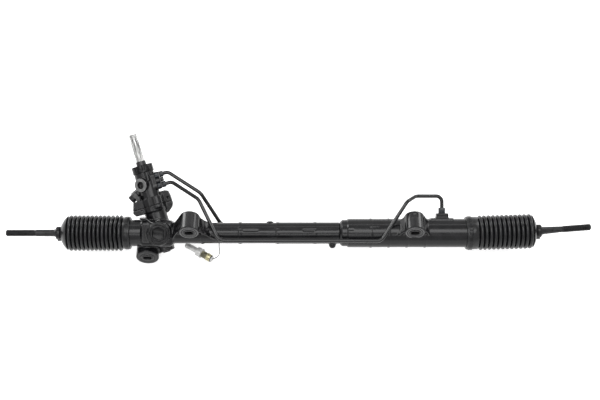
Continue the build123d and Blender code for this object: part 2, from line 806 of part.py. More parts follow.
def wire_radii():
    """Largest bend at each corner of the wire: 0.45 of its shorter run."""
    radii = []
    for before, here, after in zip(wire_route, wire_route[1:], wire_route[2:]):
        into = Vector(*here) - Vector(*before)
        out = Vector(*after) - Vector(*here)
        half_turn = math.radians(into.get_angle(out) / 2)
        radii.append(0.45 * min(into.length, out.length) / math.tan(half_turn))
    print("tie wire radii", [round(value, 1) for value in radii])
    return radii


def tie_wire():
    return route_tube(wire_route, wire_radii(), wire_radius)


# ---- Write every piece -----------------------------------------------------

os.makedirs("parts", exist_ok=True)

save(pinion_housing(), "pinion_housing")
save(cylinder_housing(), "cylinder_housing")
save(valve_housing(), "valve_housing")
save(valve_cap(), "valve_cap")
save(flange_bolts(), "flange_bolts")
save(return_union(), "return_union")
save(bottom_cap(), "bottom_cap")

for name, x in mount_places().items():
    sleeve, rubber = bush(x, boss_height, boss_front_y, boss_back_y)
    save(sleeve, name + "_bush_sleeve")
    save(rubber, name + "_bush_rubber")
sleeve, rubber = bush(lower_boss_x, lower_boss_z, lower_boss_front_y, lower_boss_back_y)
save(sleeve, "lower_bush_sleeve")
save(rubber, "lower_bush_rubber")

save(rack_bar(), "rack_bar")
piston = ring_x(cylinder_bore - 0.5, rack_radius, piston_x - 10, piston_x + 10)
piston -= ring_x(cylinder_bore + 1, piston_groove_radius, piston_x - 2.5, piston_x + 2.5)
save(piston, "piston")
save(ring_x(cylinder_bore - 0.05, piston_groove_radius, piston_x - 2.5, piston_x + 2.5), "piston_ring")
save(ring_x(cylinder_bore, rack_radius + 0.05, 88, 97), "inner_rack_seal")
save(ring_x(end_bore, rack_radius + 0.05, bushing_left_x, bushing_right_x), "rack_bushing")
save(ring_x(end_bore, rack_radius + 1, bushing_right_x, end_nut_right_x), "end_nut")

save(pinion(), "pinion")
save(torsion_bar(), "torsion_bar")
save(input_pin(), "input_pin")
save(input_shaft(), "input_shaft")
save(on_pinion * ring_z(10.5, shaft_radius, cap_top + 0.3, 157), "dust_collar")
save(valve_sleeve(), "valve_sleeve")
save(valve_rings(), "valve_rings")
save(bearing_balls(), "bearing_balls")
save(bearing_race(17.5, 14.4), "pinion_bearing_outer")
save(bearing_race(11.6, 8.5), "pinion_bearing_inner")
save(on_pinion * ring_z(17.5, 9.05, 44.5, 49), "pinion_seal")
save(on_pinion * ring_z(11, 6.03, -34, -22), "lower_bearing")
save(on_pinion * ring_z(valve_bore, 9.05, 119, 130), "input_bearing")
save(on_pinion * ring_z(14, 9.0, valve_top, valve_top + 7), "input_seal")

save(rack_yoke(), "rack_yoke")
save(yoke_liner(), "yoke_liner")
save(yoke_spring(), "yoke_spring")
save(yoke_plug(), "yoke_plug")
save(yoke_lock_ring(), "yoke_lock_ring")

washers = []
for name, side, ball_x in (("left", -1, left_ball_x), ("right", 1, right_ball_x)):
    save(Pos(ball_x, 0, 0) * mirrored_x(ball_housing(), side), name + "_ball_housing")
    washers.append(Pos(ball_x, 0, 0) * mirrored_x(lock_washer(), side))
save(Compound(washers), "lock_washers")
save(Pos(left_ball_x, 0, 0) * mirrored_x(ball_seat(), -1), "left_ball_seat")
save(right_swing(ball_seat()), "right_ball_seat")
left_rod = tie_rod(54, left_ball_x + 556, left_ball_x - left_tip_x, (7.4, 7.3))
save(Pos(left_ball_x, 0, 0) * mirrored_x(left_rod, -1), "left_tie_rod")
right_rod = tie_rod(65, 108, right_tip_x - right_ball_x, (8.0, 6.4))
save(right_swing(right_rod), "right_tie_rod")

save(left_boot(), "left_boot")
save(right_boot(), "right_boot")
save(mirrored_x(band_clamp(34.8, 33.5, 358, 366, 4, 170), -1), "left_boot_clamp")
save(bend_right(band_clamp(35.8, 34.5, 351, 359, 5, 20)), "right_boot_clamp")
save(mirrored_x(band_clamp(13.7, small_neck_radius, 503, 510, 4, 150), -1), "left_small_clamp")
save(bend_right(band_clamp(13.7, small_neck_radius, 498.5, 505.5, 4, 150)), "right_small_clamp")

save(lower_pipe(), "lower_pipe")
save(upper_pipe(), "upper_pipe")
save(union_plate(), "union_plate")
save(union_bolt(), "union_bolt")
save(valve_union_nuts(), "valve_union_nuts")
save(cylinder_union_nuts(), "cylinder_union_nuts")
save(hose_union(), "hose_union")
save(union_ring(), "union_ring")
save(tie_wire(), "tie_wire")
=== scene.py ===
import bmesh
import bpy
import json
import math
from mathutils import Matrix, Vector, noise

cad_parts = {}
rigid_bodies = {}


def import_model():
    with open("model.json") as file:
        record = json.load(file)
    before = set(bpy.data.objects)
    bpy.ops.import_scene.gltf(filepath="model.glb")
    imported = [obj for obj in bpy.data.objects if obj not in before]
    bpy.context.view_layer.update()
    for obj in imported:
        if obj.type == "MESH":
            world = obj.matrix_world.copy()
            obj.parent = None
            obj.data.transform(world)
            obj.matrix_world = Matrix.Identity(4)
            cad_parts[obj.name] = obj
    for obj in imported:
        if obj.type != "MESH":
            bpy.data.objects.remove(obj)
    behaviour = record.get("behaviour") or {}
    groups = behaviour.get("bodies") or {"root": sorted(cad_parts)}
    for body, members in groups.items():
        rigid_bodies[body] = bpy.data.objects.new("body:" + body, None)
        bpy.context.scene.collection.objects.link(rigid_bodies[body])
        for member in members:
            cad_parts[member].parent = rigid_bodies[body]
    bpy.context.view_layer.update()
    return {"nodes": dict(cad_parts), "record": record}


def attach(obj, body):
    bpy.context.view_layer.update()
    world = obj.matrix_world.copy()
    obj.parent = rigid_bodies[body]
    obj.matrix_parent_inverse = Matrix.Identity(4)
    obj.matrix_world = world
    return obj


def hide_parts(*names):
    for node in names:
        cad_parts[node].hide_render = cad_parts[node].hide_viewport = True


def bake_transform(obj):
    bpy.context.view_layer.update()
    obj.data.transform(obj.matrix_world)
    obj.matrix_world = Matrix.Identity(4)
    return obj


for item in list(bpy.data.objects):
    bpy.data.objects.remove(item)

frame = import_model()
nodes = frame["nodes"]
slotOf = {row["node"]: row["material_slot"] for row in frame["record"]["subparts"]}
bodies = frame["record"]["behaviour"]["bodies"]
bodyOf = {node: body for body, parts in bodies.items() for node in parts}
print("frame loaded:", len(nodes), "nodes")

mm = 0.001                                        # sizes of pieces are in mm, the rest in metres
weldGap = 0.000005                                # corners nearer than this become one
rackAxis = Vector((-0.00415, 0.0245, -0.036))     # origin of the rack's own axes


def onRack(x, y, z):
    return Vector((x * mm, y * mm, z * mm)) + rackAxis


# pinion and valve axis: Z runs up the input shaft, Y away from the yoke
pinionAxis = {"centre": (-293.0, 9.7508, -13.9256), "lean": 35.0, "angle": 16.42}


def pinionPlace(numbers):
    lean, angle = math.radians(numbers["lean"]), math.radians(numbers["angle"])
    across = Vector((0, math.cos(lean), math.sin(lean)))
    side = Vector((math.cos(angle), 0, 0)) + across * math.sin(angle)
    up = Vector((-math.sin(angle), 0, 0)) + across * math.cos(angle)
    turn = Matrix((side, up.cross(side), up)).transposed().to_4x4()
    return Matrix.Translation(onRack(*numbers["centre"])) @ turn


pinionFrame = pinionPlace(pinionAxis)


# camera
camera = {"place": (-0.00415, -1.2953, 1.9697), "tilt": 35.0, "lens": 68.57}


def addCamera(numbers):
    data = bpy.data.cameras.new("viewCamera")
    data.lens = numbers["lens"]
    data.sensor_width = 36.0
    data.clip_end = 30.0
    item = bpy.data.objects.new("viewCamera", data)
    bpy.context.scene.collection.objects.link(item)
    item.location = numbers["place"]
    item.rotation_euler = (math.radians(numbers["tilt"]), 0, 0)
    bpy.context.scene.camera = item


addCamera(camera)


# finishes
finishes = {
    "cast_black": {
        "dark": (0.003, 0.003, 0.0035), "light": (0.008, 0.008, 0.009), "patch": 45,
        "worn": (0.080, 0.080, 0.083), "metal": 0.0, "gloss": 0.26, "rough": (0.17, 0.26),
        "grain": 750, "bump": 0.06, "depth": 0.00022},
    "worn_edge": {
        "dark": (0.055, 0.055, 0.057), "light": (0.120, 0.120, 0.123), "patch": 140,
        "worn": (0.18, 0.18, 0.18), "metal": 0.2, "gloss": 0.3, "rough": (0.30, 0.45),
        "grain": 1300, "bump": 0.16, "depth": 0.00015},
    # next finish: the port ring's machined face, and also the painted highlight of the gusset crest
    "machined_face_and_highlight": {
        "dark": (0.085, 0.085, 0.086), "light": (0.175, 0.175, 0.173), "patch": 150,
        "worn": (0.26, 0.26, 0.26), "metal": 0.2, "gloss": 0.3, "rough": (0.30, 0.45),
        "grain": 1300, "bump": 0.12, "depth": 0.00012},
    "oil_black": {
        "dark": (0.0025, 0.0025, 0.003), "light": (0.006, 0.006, 0.0065), "patch": 90,
        "worn": (0.05, 0.05, 0.052), "metal": 0.0, "gloss": 0.15, "rough": (0.18, 0.30),
        "grain": 900, "bump": 0.10, "depth": 0.00015},
    "blackened_band": {
        "dark": (0.005, 0.005, 0.0055), "light": (0.011, 0.011, 0.012), "patch": 120,
        "worn": (0.05, 0.05, 0.05), "metal": 0.0, "gloss": 0.22, "rough": (0.22, 0.34),
        "grain": 1300, "bump": 0.12, "depth": 0.00015},
    # next finish: oiled inner parts, and also the painted dark reflections and painted shade on the
    # input shaft
    "oiled_steel_and_shade": {
        "dark": (0.012, 0.012, 0.012), "light": (0.040, 0.040, 0.040), "patch": 120,
        "worn": (0.08, 0.08, 0.08), "metal": 0.1, "gloss": 0.25, "rough": (0.30, 0.45),
        "grain": 1300, "bump": 0.10, "depth": 0.0001},
    "black_rubber": {
        "dark": (0.004, 0.004, 0.0045), "light": (0.008, 0.008, 0.009), "patch": 60,
        "worn": (0.018, 0.018, 0.019), "metal": 0.0, "gloss": 0.30, "rough": (0.25, 0.36),
        "grain": 1500, "bump": 0.12, "depth": 0.00015},
    "machined_steel": {
        "dark": (0.34, 0.34, 0.35), "light": (0.46, 0.46, 0.47), "patch": 90,
        "worn": (0.62, 0.62, 0.63), "metal": 1.0, "gloss": 0.5, "rough": (0.24, 0.36),
        "grain": 1600, "bump": 0.08, "depth": 0.0001},
    # next finish: its dark and light streaks along the input shaft are painted reflections
    "bright_steel": {
        "dark": (0.075, 0.075, 0.077), "light": (0.60, 0.60, 0.59), "patch": 1,
        "worn": (0.60, 0.60, 0.59), "metal": 0.4, "gloss": 0.4, "rough": (0.26, 0.40),
        "grain": 1800, "bump": 0.06, "depth": 0.0001,
        "reflectionStreak": (0.0026, 0.0026, 0.020), "span": (0.40, 0.60)},
    "dark_steel": {
        "dark": (0.006, 0.006, 0.0065), "light": (0.020, 0.020, 0.021), "patch": 130,
        "worn": (0.09, 0.09, 0.09), "metal": 0.1, "gloss": 0.30, "rough": (0.26, 0.40),
        "grain": 1300, "bump": 0.16, "depth": 0.00015},
    "painted_pipe": {
        "dark": (0.004, 0.004, 0.0045), "light": (0.009, 0.009, 0.010), "patch": 60,
        "worn": (0.03, 0.03, 0.031), "metal": 0.0, "gloss": 0.34, "rough": (0.10, 0.18),
        "grain": 420, "bump": 0.05, "depth": 0.0002},
    "zinc_nut": {
        "dark": (0.004, 0.005, 0.006), "light": (0.010, 0.0125, 0.016), "patch": 170,
        "worn": (0.04, 0.048, 0.058), "metal": 0.0, "gloss": 0.24, "rough": (0.18, 0.30),
        "grain": 1500, "bump": 0.10, "depth": 0.0001},
    "zinc_union": {
        "dark": (0.40, 0.40, 0.40), "light": (0.60, 0.60, 0.59), "patch": 150,
        "worn": (0.84, 0.84, 0.82), "metal": 0.25, "gloss": 0.4, "rough": (0.30, 0.44),
        "grain": 1500, "bump": 0.10, "depth": 0.0001},
    "olive_thread": {
        "dark": (0.055, 0.052, 0.034), "light": (0.190, 0.180, 0.120), "patch": 170,
        "worn": (0.46, 0.44, 0.32), "metal": 0.3, "gloss": 0.4, "rough": (0.26, 0.40),
        "grain": 1500, "bump": 0.10, "depth": 0.0001},
    "plated_gold": {
        "dark": (0.26, 0.235, 0.120), "light": (0.60, 0.56, 0.36), "patch": 190,
        "worn": (0.84, 0.81, 0.68), "metal": 0.4, "gloss": 0.4, "rough": (0.24, 0.38),
        "grain": 1500, "bump": 0.10, "depth": 0.0001},
    "wire_grey": {
        "dark": (0.022, 0.022, 0.023), "light": (0.055, 0.055, 0.057), "patch": 200,
        "worn": (0.12, 0.12, 0.12), "metal": 0.2, "gloss": 0.3, "rough": (0.34, 0.48),
        "grain": 1700, "bump": 0.10, "depth": 0.0001},
    "plastic": {
        "dark": (0.014, 0.014, 0.015), "light": (0.024, 0.024, 0.026), "patch": 80,
        "worn": (0.05, 0.05, 0.05), "metal": 0.0, "gloss": 0.4, "rough": (0.40, 0.55),
        "grain": 1200, "bump": 0.12, "depth": 0.00015},
    "yoke_alloy": {
        "dark": (0.30, 0.30, 0.31), "light": (0.42, 0.42, 0.43), "patch": 90,
        "worn": (0.55, 0.55, 0.55), "metal": 0.9, "gloss": 0.5, "rough": (0.34, 0.50),
        "grain": 1100, "bump": 0.16, "depth": 0.00015},
}

# where noise and edge values start and stop to count, unless a finish has its own span
bands = {"tint": (0.35, 0.68), "wear": (0.54, 0.66), "polish": (0.3, 0.7)}


def makeFinish(name, look):
    material = bpy.data.materials.new(name)
    material.use_nodes = True
    tree = material.node_tree
    shader = tree.nodes["Principled BSDF"]
    shader.inputs["Metallic"].default_value = look["metal"]
    shader.inputs["Specular IOR Level"].default_value = look["gloss"]
    coords = tree.nodes.new("ShaderNodeTexCoord")

    patch = tree.nodes.new("ShaderNodeTexNoise")
    patch.inputs["Scale"].default_value = look["patch"]
    patch.inputs["Detail"].default_value = 5
    tree.links.new(coords.outputs["Object"], patch.inputs["Vector"])
    if "reflectionStreak" in look:     # painted reflection streaks, drawn out along the input shaft
        along = tree.nodes.new("ShaderNodeMapping")
        along.vector_type = "TEXTURE"
        along.inputs["Location"].default_value = pinionFrame.to_translation()
        along.inputs["Rotation"].default_value = pinionFrame.to_euler()
        along.inputs["Scale"].default_value = look["reflectionStreak"]
        tree.links.new(coords.outputs["Object"], along.inputs["Vector"])
        tree.links.new(along.outputs["Vector"], patch.inputs["Vector"])
    tint = tree.nodes.new("ShaderNodeValToRGB")
    spanStart, spanEnd = look.get("span", bands["tint"])
    tint.color_ramp.elements[0].position = spanStart
    tint.color_ramp.elements[0].color = (*look["dark"], 1)
    tint.color_ramp.elements[1].position = spanEnd
    tint.color_ramp.elements[1].color = (*look["light"], 1)
    tree.links.new(patch.outputs["Fac"], tint.inputs["Fac"])

    # edges catch a little wear
    edge = tree.nodes.new("ShaderNodeNewGeometry")
    edgeBand = tree.nodes.new("ShaderNodeMapRange")
    edgeBand.inputs["From Min"].default_value = bands["wear"][0]
    edgeBand.inputs["From Max"].default_value = bands["wear"][1]
    tree.links.new(edge.outputs["Pointiness"], edgeBand.inputs["Value"])
    wear = tree.nodes.new("ShaderNodeMix")
    wear.data_type = "RGBA"
    wear.inputs["B"].default_value = (*look["worn"], 1)
    tree.links.new(edgeBand.outputs["Result"], wear.inputs["Factor"])
    tree.links.new(tint.outputs["Color"], wear.inputs["A"])
    tree.links.new(wear.outputs["Result"], shader.inputs["Base Color"])

    polish = tree.nodes.new("ShaderNodeMapRange")
    polish.inputs["From Min"].default_value = bands["polish"][0]
    polish.inputs["From Max"].default_value = bands["polish"][1]
    polish.inputs["To Min"].default_value = look["rough"][0]
    polish.inputs["To Max"].default_value = look["rough"][1]
    tree.links.new(patch.outputs["Fac"], polish.inputs["Value"])
    tree.links.new(polish.outputs["Result"], shader.inputs["Roughness"])

    grain = tree.nodes.new("ShaderNodeTexNoise")
    grain.inputs["Scale"].default_value = look["grain"]
    grain.inputs["Detail"].default_value = 3
    tree.links.new(coords.outputs["Object"], grain.inputs["Vector"])
    bump = tree.nodes.new("ShaderNodeBump")
    bump.inputs["Strength"].default_value = look["bump"]
    bump.inputs["Distance"].default_value = look["depth"]
    tree.links.new(grain.outputs["Fac"], bump.inputs["Height"])
    tree.links.new(bump.outputs["Normal"], shader.inputs["Normal"])
    return material


materials = {name: makeFinish(name, look) for name, look in finishes.items()}
print("finishes made:", len(materials))


def dress(item, slot):
    item.data.materials.clear()
    item.data.materials.append(materials[slot])


# tie wire, from the pipe down to the loose hose union
tieWire = {
    "route": [(-171.3, -5.07, -22.01), (-173.05, -8.5, -35.0), (-172.15, -9.9, -50.0),
              (-173.45, -11.6, -63.0), (-180.05, -12.5, -74.0), (-189.09, -11.85, -81.45)],
    "diameter": 1.6, "length": 65.9}


def addTieWire(numbers):
    data = bpy.data.curves.new("tieWire", "CURVE")
    data.dimensions = "3D"
    data.bevel_depth = numbers["diameter"] / 2 * mm
    data.bevel_resolution = 4
    data.resolution_u = 12
    data.use_fill_caps = True
    line = data.splines.new("NURBS")
    line.points.add(len(numbers["route"]) - 1)
    for point, place in zip(line.points, numbers["route"]):
        point.co = (*[value * mm for value in place], 1)
    line.order_u = 3
    line.use_endpoint_u = True
    item = bpy.data.objects.new("tieWire", data)
    bpy.context.scene.collection.objects.link(item)
    data.materials.append(materials["wire_grey"])
    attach(item, "housing")
    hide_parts("tie_wire")


def finishMesh(bm, name, slot, sharp=35):
    bmesh.ops.remove_doubles(bm, verts=bm.verts, dist=weldGap)
    bmesh.ops.recalc_face_normals(bm, faces=bm.faces)
    mesh = bpy.data.meshes.new(name)
    for edge in bm.edges:
        edge.smooth = edge.calc_face_angle(0) < math.radians(sharp)
    for face in bm.faces:
        face.smooth = True
    bm.to_mesh(mesh)
    bm.free()
    item = bpy.data.objects.new(name, mesh)
    bpy.context.scene.collection.objects.link(item)
    dress(item, slot)
    return item


def spinAboutX(bm, profile, steps=96, closed=False):
    # profile: (x, radius) in mm, turned about X
    verts = [bm.verts.new((x * mm, 0, radius * mm)) for x, radius in profile]
    edges = [bm.edges.new(pair) for pair in zip(verts, verts[1:])]
    if closed:
        edges.append(bm.edges.new((verts[-1], verts[0])))
    bmesh.ops.spin(bm, geom=verts + edges, cent=(0, 0, 0), axis=(1, 0, 0), angle=math.tau,
                   steps=steps, use_merge=True)


def moveMesh(bm, matrix):
    bmesh.ops.transform(bm, matrix=matrix, verts=bm.verts)


def joinInto(bm, part):
    scratch = bpy.data.meshes.new("scratch")
    part.to_mesh(scratch)
    part.free()
    bm.from_mesh(scratch)
    bpy.data.meshes.remove(scratch)


threadShape = {"sunk": 0.1, "crestFrom": 0.42, "crestTo": 0.58}     # crest in shares of the pitch


def threadOn(bm, start, end, root, crest, pitch, steps=24):
    # one helical ridge about X, from start to end
    turns = int((end - start) / pitch) - 1
    foot = root - threadShape["sunk"]
    ridge = [(start, foot), (start + pitch * threadShape["crestFrom"], crest),
             (start + pitch * threadShape["crestTo"], crest), (start + pitch, foot)]
    verts = [bm.verts.new((x * mm, 0, radius * mm)) for x, radius in ridge]
    edges = [bm.edges.new(pair) for pair in zip(verts, verts[1:])]
    bmesh.ops.spin(bm, geom=verts + edges, cent=(0, 0, 0), axis=(1, 0, 0),
                   dvec=(pitch / steps * mm, 0, 0), angle=math.tau * turns, steps=steps * turns,
                   use_merge=False)


def hexAboutX(bm, across, start, end, chamfer):
    # hexagon prism along X, its corners rounded off by a small bevel
    radius = across / math.sqrt(3) * mm
    circle = bmesh.ops.create_circle(bm, cap_ends=True, segments=6, radius=radius)["verts"]
    face = circle[0].link_faces[0]
    place = Matrix.Translation((start * mm, 0, 0)) @ Matrix.Rotation(math.pi / 2, 4, "Y")
    bmesh.ops.transform(bm, matrix=place, verts=circle)
    grown = bmesh.ops.extrude_face_region(bm, geom=[face])["geom"]
    moved = [part for part in grown if isinstance(part, bmesh.types.BMVert)]
    bmesh.ops.translate(bm, vec=((end - start) * mm, 0, 0), verts=moved)
    touched = set(circle) | set(moved)
    edges = [edge for edge in bm.edges if edge.verts[0] in touched and edge.verts[1] in touched]
    bmesh.ops.bevel(bm, geom=edges, offset=chamfer * mm, offset_type="OFFSET", segments=2,
                    profile=0.5, affect="EDGES", material=-1)


# every CAD node takes the finish of its slot, apart from those that are oiled or blackened
ownLooks = {
    "oiled_steel_and_shade": ("valve_sleeve", "torsion_bar", "input_pin", "pinion_bearing_inner",
                    "pinion_bearing_outer"),
    "oil_black": ("yoke_plug", "yoke_lock_ring", "valve_cap"),
    "blackened_band": ("left_boot_clamp", "right_boot_clamp", "left_small_clamp",
                       "right_small_clamp")}
lookOf = dict(slotOf)
for look, names in ownLooks.items():
    lookOf.update({name: look for name in names})
for name, node in nodes.items():
    dress(node, lookOf[name])
print("CAD nodes dressed")


# loose hose union: tube with a bead, hexagon with a flange, threaded barrel and, at the wire's end,
# a plated sleeve
hoseUnionSizes = {
    "tail": (-243.1, 0.7, -46.0), "nose": (-185.6, -36.3, -46.0),
    "bore": 3.0, "mouth": ((1.4, 0.0), (0.3, 0.8), (0.0, 1.6)),     # x, and how far past the bore
    "tube": 6.2, "tubeEnd": ((0.2, -0.9), (1.2, 0.0)),              # x, and how far past the tube
    "bead": 7.1, "beadSpan": (3.0, 3.8, 5.4, 6.2),
    "hex": (19.0, 30.0, 39.0), "hexChamfer": 0.7, "hexOverlap": 0.5, "collar": 7.5,
    "flange": (10.6, 39.0, 42.0), "flangeRoll": 0.5,
    "barrel": (42.0, 7.5, 6.7), "barrelUnder": 0.3,
    "threadWall": 0.4, "threadGap": 0.2, "threadPitch": 1.75,
    "waist": 8.0, "noseRadius": 6.4, "noseRoll": 1.0, "noseGroove": (0.4, 2.2, 2.8),
    "noseWall": 6.0}
unionSleeveSizes = {"radius": 7.9, "inner": 7.55, "length": 10.0, "fromNose": 3.5,
                    "lip": 8.4, "lipSpan": (1.0, 2.2, 3.0), "endRoll": (1.2, 0.3)}


def unionPlace():
    tail, nose = onRack(*hoseUnionSizes["tail"]), onRack(*hoseUnionSizes["nose"])
    aim = (nose - tail).to_track_quat("X", "Z").to_matrix().to_4x4()
    return Matrix.Translation(tail) @ aim, (nose - tail).length / mm


def addHoseUnion(numbers):
    place, end = unionPlace()
    tube, bore, bead = numbers["tube"], numbers["bore"], numbers["bead"]
    across, hexStart, hexEnd = numbers["hex"]
    barrelStart, crest, root = numbers["barrel"]
    flange, flangeStart, flangeEnd = numbers["flange"]
    roll = numbers["flangeRoll"]
    tubeStop, barrelRadius = hexStart + numbers["hexOverlap"], root - numbers["barrelUnder"]
    profile = [(x, bore + out) for x, out in numbers["mouth"]]
    profile += [(x, tube + out) for x, out in numbers["tubeEnd"]]
    profile += zip(numbers["beadSpan"], (tube, bead, bead, tube))
    profile += [(tubeStop, tube), (tubeStop, numbers["collar"]), (flangeStart, numbers["collar"]),
                (flangeStart, flange - roll), (flangeStart + roll, flange),
                (flangeEnd - roll, flange), (flangeEnd, flange - roll), (barrelStart, barrelRadius)]
    waist, nose, noseRoll = end - numbers["waist"], numbers["noseRadius"], numbers["noseRoll"]
    grooveStart, grooveEnd, noseStart = [waist + step for step in numbers["noseGroove"]]
    boreStop = end - numbers["noseWall"]
    profile += [(waist, barrelRadius), (grooveStart, nose - noseRoll), (grooveEnd, nose - noseRoll),
                (noseStart, nose), (end - noseRoll, nose), (end, nose - noseRoll), (end, 0.0),
                (boreStop, 0.0), (boreStop, bore)]
    bm = bmesh.new()
    spinAboutX(bm, profile, steps=48, closed=True)
    part = bmesh.new()
    hexAboutX(part, across, hexStart, hexEnd, numbers["hexChamfer"])
    joinInto(bm, part)
    moveMesh(bm, place)
    item = finishMesh(bm, "hoseUnion", "zinc_union")
    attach(item, "housing")
    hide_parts("hose_union")

    inner, gap = root - numbers["threadWall"], numbers["threadGap"]
    bm = bmesh.new()
    spinAboutX(bm, [(barrelStart, inner), (barrelStart, root), (waist, root), (waist, inner)],
               steps=48, closed=True)
    threadOn(bm, barrelStart + gap, waist - gap, root, crest, numbers["threadPitch"])
    moveMesh(bm, place)
    item = finishMesh(bm, "unionThread", "olive_thread")
    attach(item, "housing")


def addUnionSleeve(numbers):
    place, end = unionPlace()
    start = end - numbers["fromNose"] - numbers["length"]
    stop = start + numbers["length"]
    radius, inner, lip = numbers["radius"], numbers["inner"], numbers["lip"]
    lipStart, lipEnd, lipFoot = [start + step for step in numbers["lipSpan"]]
    rollLong, rollDeep = numbers["endRoll"]
    bm = bmesh.new()
    spinAboutX(bm, [(start, inner), (start, radius), (lipStart, lip), (lipEnd, lip),
                    (lipFoot, radius), (stop - rollLong, radius), (stop, radius - rollDeep),
                    (stop, inner)], steps=48, closed=True)
    moveMesh(bm, place)
    item = finishMesh(bm, "unionSleeve", "plated_gold")
    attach(item, "housing")
    return item


addHoseUnion(hoseUnionSizes)
unionSleeve = addUnionSleeve(unionSleeveSizes)
addTieWire(tieWire)
print("hose union and tie wire laid")


# bush faces: the steel rim round each rubber, and on the slotted bosses a machined ring outside it
bushes = {
    "left": {"x": -229.35, "z": 36.0, "front": -23.5, "back": 17.5, "ring": (17.0, 19.4)},
    "right": {"x": 237.65, "z": 36.0, "front": -23.5, "back": 17.5, "ring": (17.0, 19.4)},
    "lower": {"x": -321.0, "z": -34.0, "front": -40.0, "back": -6.0},
}
bushRim = {"inner": 13.2, "outer": 14.6, "proud": 0.6, "sunk": 0.4, "roll": 0.3, "ringShare": 0.6}
portRing = {"mouth": 26.5, "inner": 7.7, "outer": 14.1, "proud": 0.4, "sunk": 0.5, "roll": 0.3,
            "height": 107.3, "turn": -25.0}


def ringAboutX(inner, outer, low, high, roll):
    # a ring about X with rolled edges at its high end
    bm = bmesh.new()
    spinAboutX(bm, [(low, inner), (high - roll, inner), (high, inner + roll), (high, outer - roll),
                    (high - roll, outer), (low, outer)], steps=72, closed=True)
    return bm


def addBushRim(name, numbers):
    bm = bmesh.new()
    rings = [(bushRim["inner"], bushRim["outer"], bushRim["proud"])]
    if "ring" in numbers:
        rings.append((*numbers["ring"], bushRim["proud"] * bushRim["ringShare"]))
    for face, way in ((numbers["front"], -1), (numbers["back"], 1)):
        turn = Matrix.Rotation(math.radians(90 * way), 4, "Z")
        place = Matrix.Translation(onRack(numbers["x"], face, numbers["z"])) @ turn
        for inner, outer, proud in rings:
            part = ringAboutX(inner, outer, -bushRim["sunk"], proud, bushRim["roll"])
            moveMesh(part, place)
            joinInto(bm, part)
    item = finishMesh(bm, name + "BushRim", "worn_edge" if "ring" in numbers else "dark_steel")
    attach(item, "housing")


def addPortRing(numbers):
    low, high = numbers["mouth"] - numbers["sunk"], numbers["mouth"] + numbers["proud"]
    bm = ringAboutX(numbers["inner"], numbers["outer"], low, high, numbers["roll"])
    outward = Matrix.Rotation(math.radians(90), 4, "X") @ Matrix.Rotation(math.radians(-90), 4, "Y")
    turn = Matrix.Rotation(math.radians(numbers["turn"]), 4, "Z")
    moveMesh(bm, pinionFrame @ turn @ Matrix.Translation((0, 0, numbers["height"] * mm)) @ outward)
    item = finishMesh(bm, "portRing", "machined_face_and_highlight")
    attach(item, "housing")


for name, numbers in bushes.items():
    addBushRim(name, numbers)
addPortRing(portRing)
print("bush rims and port ring turned")


# small machined and cast pieces: every sharp edge gets a narrow bevel that catches the light
edgeBreaks = {
    "valve_cap": 0.7, "yoke_plug": 0.8, "yoke_lock_ring": 0.8, "return_union": 0.5,
    "flange_bolts": 0.5, "valve_union_nuts": 0.5, "cylinder_union_nuts": 0.5, "union_plate": 0.7,
    "union_bolt": 0.5, "bottom_cap": 0.5, "left_boot_clamp": 0.6, "right_boot_clamp": 0.6,
    "left_small_clamp": 0.4, "right_small_clamp": 0.4, "left_bush_sleeve": 0.4,
    "right_bush_sleeve": 0.4, "lower_bush_sleeve": 0.4}
litEdges = ("yoke_plug", "yoke_lock_ring")                  # bevels in bright metal: a painted highlight along their edges
litEnds = ("left_bush_sleeve", "right_bush_sleeve")         # rubbed bright on their end faces
breakAngles = {"flat": 0.5, "sharp": 32, "shade": 50}       # degrees between two faces
endFacing = 0.3                                             # share of Y in an end face's normal


def breakEdges(nodeName, width):
    bm = bmesh.new()
    bm.from_mesh(nodes[nodeName].data)
    bmesh.ops.remove_doubles(bm, verts=bm.verts, dist=weldGap)
    bmesh.ops.dissolve_limit(bm, angle_limit=math.radians(breakAngles["flat"]), verts=bm.verts,
                             edges=bm.edges, use_dissolve_boundaries=False)
    least = math.radians(breakAngles["sharp"])
    sharp = [edge for edge in bm.edges if edge.calc_face_angle(0) > least]
    bevelled = bmesh.ops.bevel(bm, geom=sharp, offset=width * mm, offset_type="OFFSET", segments=2,
                               profile=0.5, affect="EDGES", clamp_overlap=True, material=-1)
    lit = bevelled["faces"] if nodeName in litEdges else []
    if nodeName in litEnds:
        lit = [face for face in bm.faces if abs(face.normal.y) > endFacing]
    for face in lit:
        face.material_index = 1
    pieceName = nodeName.replace("_", " ").title().replace(" ", "") + "Edged"
    item = finishMesh(bm, pieceName, lookOf[nodeName], sharp=breakAngles["shade"])
    # second finish: painted highlight on the yoke bevels, rubbed bright metal on the bush sleeves'
    # ends
    item.data.materials.append(materials["yoke_alloy" if nodeName in litEdges else "worn_edge"])
    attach(item, bodyOf[nodeName])
    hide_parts(nodeName)


for nodeName, width in edgeBreaks.items():
    breakEdges(nodeName, width)
print("edges broken on", len(edgeBreaks), "pieces")


# wavy crest over the pinion box, a thin light strip: a painted highlight along the lip's edge
gussetCrest = {"line": [(-334.0, 30.9), (-330.0, 30.9), (-325.0, 30.9), (-320.0, 30.2),
                        (-314.0, 25.4), (-309.0, 21.8), (-304.0, 22.2), (-298.0, 25.6),
                        (-292.6, 28.2)],
               "height": 24.3, "radius": 0.8, "sides": 10, "lean": 35.0}


